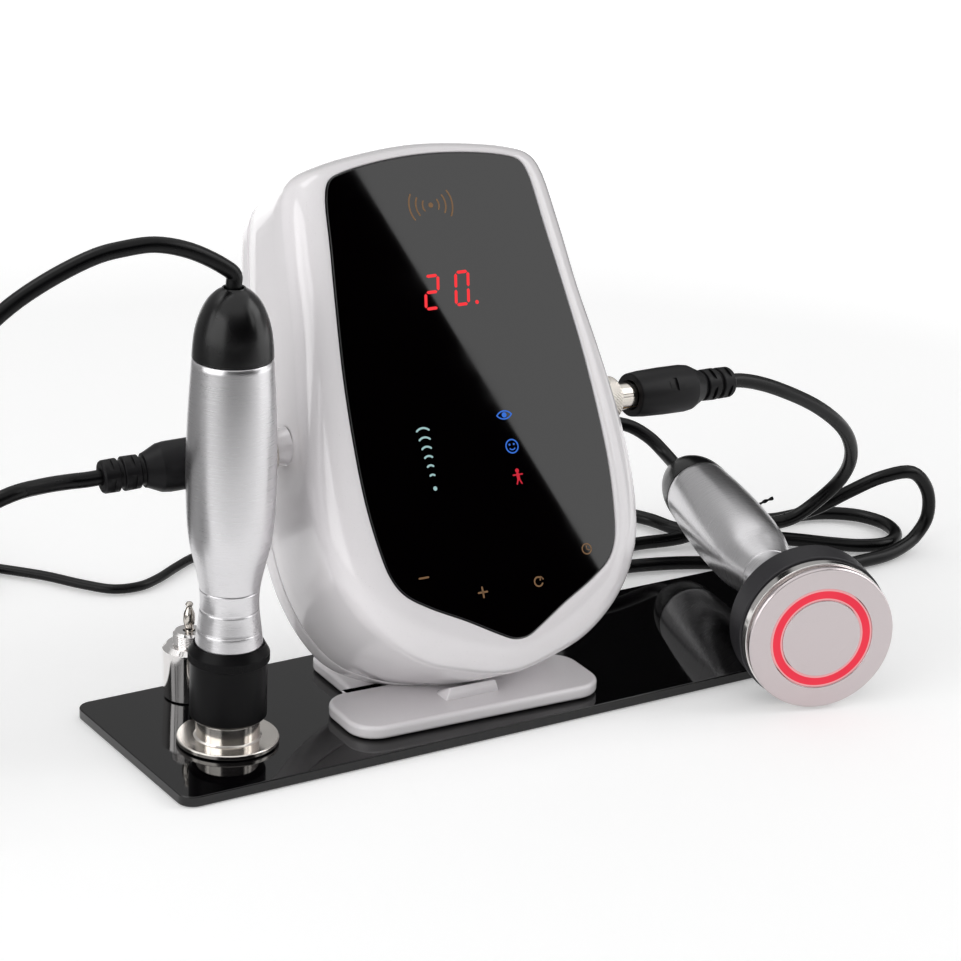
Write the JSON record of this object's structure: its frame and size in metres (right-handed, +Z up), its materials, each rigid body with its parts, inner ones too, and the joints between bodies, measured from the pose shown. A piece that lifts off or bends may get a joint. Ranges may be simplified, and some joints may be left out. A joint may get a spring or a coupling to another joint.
{
  "type": "tripolar radio frequency device",
  "caption": "Desktop beauty device: touch console on a flat stand, a face handpiece and a ring-lit body handpiece on leads, a spare small tip and a mains adapter.",
  "frame": {"origin": "middle of the base plate's underside, on the floor", "axes": "+X to the device's right along the plate's long side, +Y to the back, +Z up"},
  "size_m": [0.578, 0.3262, 0.2056],
  "materials": {
    "gloss_black": "high gloss",
    "gloss_white": "high gloss",
    "soft_black": "soft satin",
    "plug_rubber": "satin",
    "lead_jacket": "semi-gloss flexible jacket",
    "satin_alloy": "satin anodised",
    "nickel": "satin nickel plate",
    "brushed": "circular brushed",
    "chrome": "mirror polish",
    "brass": "bare",
    "red_light": "lit from within",
    "board": "laminate board",
    "ferrite": "wound core",
    "diffuser": "clear diffuser"
  },
  "bodies": {
    "base": {"base_plate": "gloss_black", "stand": "gloss_white", "front_shell": "gloss_white", "rear_shell": "gloss_white", "shell_screw_1": "nickel", "shell_screw_2": "nickel", "shell_screw_3": "nickel", "shell_screw_4": "nickel", "front_panel": "gloss_black", "display_board": "board", "digit_display": "soft_black", "light_guide": "diffuser", "touch_key_strip": "brass", "main_board": "board", "rf_transformer": "ferrite", "cooling_block": "satin_alloy", "left_socket": "nickel", "left_socket_nut": "nickel", "left_plug": "plug_rubber", "left_plug_pin": "brass", "right_socket": "nickel", "right_socket_nut": "nickel", "right_plug": "plug_rubber", "right_plug_pin": "brass", "power_inlet": "soft_black", "power_plug": "plug_rubber", "rocker_frame": "soft_black", "face_handle": "satin_alloy", "face_cap": "soft_black", "face_contact": "brass", "body_handle": "satin_alloy", "body_cap": "soft_black", "body_contact": "brass", "eye_tip": "chrome", "eye_pin": "nickel", "face_lead_near": "lead_jacket", "face_lead_far": "lead_jacket", "body_lead": "lead_jacket", "power_lead": "lead_jacket", "face_lead_coil": "lead_jacket", "power_lead_coil": "lead_jacket", "mains_adapter": "soft_black", "adapter_prong_1": "nickel", "adapter_prong_2": "nickel"},
    "face_head": {"face_electrode": "nickel", "face_pole_1": "chrome", "face_pole_2": "chrome", "face_pole_3": "chrome", "face_insulator": "soft_black", "face_collar": "soft_black", "face_pin": "nickel"},
    "body_head": {"body_face_ring": "brushed", "body_light_ring": "red_light", "body_centre_disc": "brushed", "body_light_board": "board", "body_cup": "soft_black", "body_pin": "nickel"},
    "rocker": {"power_rocker": "soft_black"}
  },
  "joints": [
    {"name": "face_head_turn", "type": "hinge", "parent": "base", "child": "face_head", "pos_m": [-0.1138, -0.0085, 0.03], "axis": [0, 0, 1], "range_deg": [-180, 180]},
    {"name": "body_head_turn", "type": "hinge", "parent": "base", "child": "body_head", "pos_m": [0.102, -0.0804, 0.02975], "axis": [0.3007, 0.9536, 0.0187], "range_deg": [-180, 180]},
    {"name": "power_switch", "type": "hinge", "parent": "base", "child": "rocker", "pos_m": [-0.03359, 0.03346, 0.05813], "axis": [0.999, -0.0436, 0], "range_deg": [0, 16]}
  ]
}
